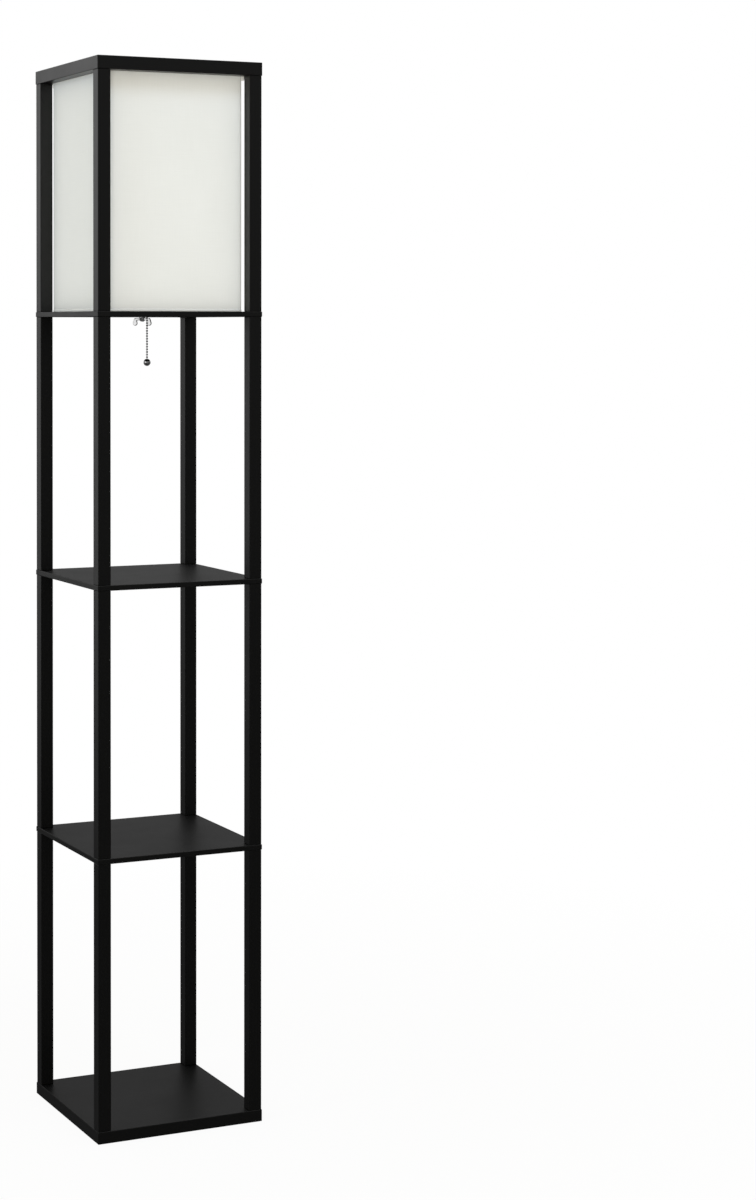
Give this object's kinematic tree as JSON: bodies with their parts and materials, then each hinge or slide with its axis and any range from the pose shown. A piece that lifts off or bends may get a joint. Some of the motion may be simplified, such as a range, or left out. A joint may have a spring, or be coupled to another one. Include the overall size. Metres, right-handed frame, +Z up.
{
  "type": "shelf floor lamp",
  "caption": "Square shelf tower floor lamp: black corner posts and open shelves below a square pale fabric shade, with a pull chain under the lamp shelf.",
  "frame": {"origin": "middle of the base board's underside, on the floor", "axes": "+Z up; the front is -Y and the right is +X, as seen in the picture's wide face; the lamp holder stands a little behind the chain, towards +Y"},
  "size_m": [0.266, 0.266, 1.6],
  "materials": {
    "black_paint": "satin black lacquer",
    "shade_fabric": "stiff off-white linen laminate",
    "ring_wire": "white powder coat",
    "black_screw_steel": "black zinc",
    "zinc_steel": "zinc plated",
    "dowel_wood": "bare beech",
    "bright_nickel": "bright nickel plate",
    "holder_metal": "bright pressed aluminium",
    "fibre": "dark insulating fibre",
    "brass": "bright stamped",
    "phenolic": "moulded phenolic",
    "bulb_cap_metal": "bright rolled",
    "bulb_tip_glass": "dark insulating bead with a bright contact",
    "bulb_housing_plastic": "white moulded",
    "bulb_diffuser_plastic": "frosted",
    "board_aluminium": "white solder mask",
    "black_plastic": "moulded"
  },
  "bodies": {
    "root": {"base_board": "black_paint", "base_screws": "black_screw_steel", "centre_contact": "brass", "chain_guide": "bright_nickel", "clamp_stud": "zinc_steel", "cord_bushing": "black_plastic", "holder_bracket": "zinc_steel", "holder_cap": "holder_metal", "holder_core": "phenolic", "holder_nipple": "zinc_steel", "holder_shell": "holder_metal", "lever_pin": "zinc_steel", "lever_spring": "zinc_steel", "light_shelf": "black_paint", "lower_post_back_left": "black_paint", "lower_post_back_right": "black_paint", "lower_post_front_left": "black_paint", "lower_post_front_right": "black_paint", "lower_shelf": "black_paint", "middle_post_back_left": "black_paint", "middle_post_back_right": "black_paint", "middle_post_front_left": "black_paint", "middle_post_front_right": "black_paint", "middle_shelf": "black_paint", "nipple_lock_nut": "zinc_steel", "screw_shell": "brass", "shade_bottom_ring": "ring_wire", "shade_post_back_left": "black_paint", "shade_post_back_right": "black_paint", "shade_post_front_left": "black_paint", "shade_post_front_right": "black_paint", "shade_top_ring": "ring_wire", "shade_wall": "shade_fabric", "shelf_studs": "zinc_steel", "shell_liner": "fibre", "terminal_screws": "brass", "threaded_inserts": "zinc_steel", "top_frame_studs": "zinc_steel", "top_rail_back": "black_paint", "top_rail_dowels": "dowel_wood", "top_rail_front": "black_paint", "top_rail_left": "black_paint", "top_rail_right": "black_paint", "upper_post_back_left": "black_paint", "upper_post_back_right": "black_paint", "upper_post_front_left": "black_paint", "upper_post_front_right": "black_paint"},
    "chain_pull": {"upper_chain": "bright_nickel"},
    "chain_bend": {"bend_bead": "bright_nickel"},
    "chain_hang": {"hanging_chain": "bright_nickel", "end_ball": "bright_nickel"},
    "lever": {"switch_lever": "brass"},
    "bulb_rise": {"bulb_tip": "bulb_tip_glass"},
    "bulb": {"bulb_cap": "bulb_cap_metal", "bulb_housing": "bulb_housing_plastic", "bulb_diffuser": "bulb_diffuser_plastic", "bulb_light_board": "board_aluminium"},
    "nut_travel": {"clamp_washer": "bright_nickel"},
    "wing_nut": {"wing_nut": "bright_nickel"}
  },
  "joints": [
    {"name": "chain_pull", "type": "slide", "parent": "root", "child": "chain_pull", "axis": [0, 0, -1], "range_m": [0, 0.0094], "stiffness_N_per_m": 800, "springref_m": -0.004},
    {"name": "switch_lever", "type": "hinge", "parent": "root", "child": "lever", "pos_m": [0, 0.019, 1.2605], "axis": [1, 0, 0], "range_deg": [0, 28]},
    {"name": "chain_swing_fore_aft", "type": "hinge", "parent": "chain_pull", "child": "chain_bend", "pos_m": [0, 0, 1.2003], "axis": [1, 0, 0], "range_deg": [-45, 45]},
    {"name": "chain_swing_sideways", "type": "hinge", "parent": "chain_bend", "child": "chain_hang", "pos_m": [0, 0, 1.2003], "axis": [0, 1, 0], "range_deg": [-45, 45]},
    {"name": "bulb_rise", "type": "slide", "parent": "root", "child": "bulb_rise", "axis": [0, 0, 1], "range_m": [0, 0.0109]},
    {"name": "bulb_turn", "type": "hinge", "parent": "bulb_rise", "child": "bulb", "pos_m": [0, 0.019, 1.3], "axis": [0, 0, 1], "range_deg": [0, 1080]},
    {"name": "nut_travel", "type": "slide", "parent": "root", "child": "nut_travel", "axis": [0, 0, -1], "range_m": [0, 0.00161]},
    {"name": "wing_nut_turn", "type": "hinge", "parent": "nut_travel", "child": "wing_nut", "pos_m": [0, 0.019, 1.2115], "axis": [0, 0, -1], "range_deg": [0, 720]}
  ],
  "couplings": [
    {"joint": "switch_lever", "follows": "chain_pull", "rad_per_m": 51.583},
    {"joint": "bulb_rise", "follows": "bulb_turn", "m_per_rad": 0.00057773},
    {"joint": "nut_travel", "follows": "wing_nut_turn", "m_per_rad": 0.00012732}
  ]
}
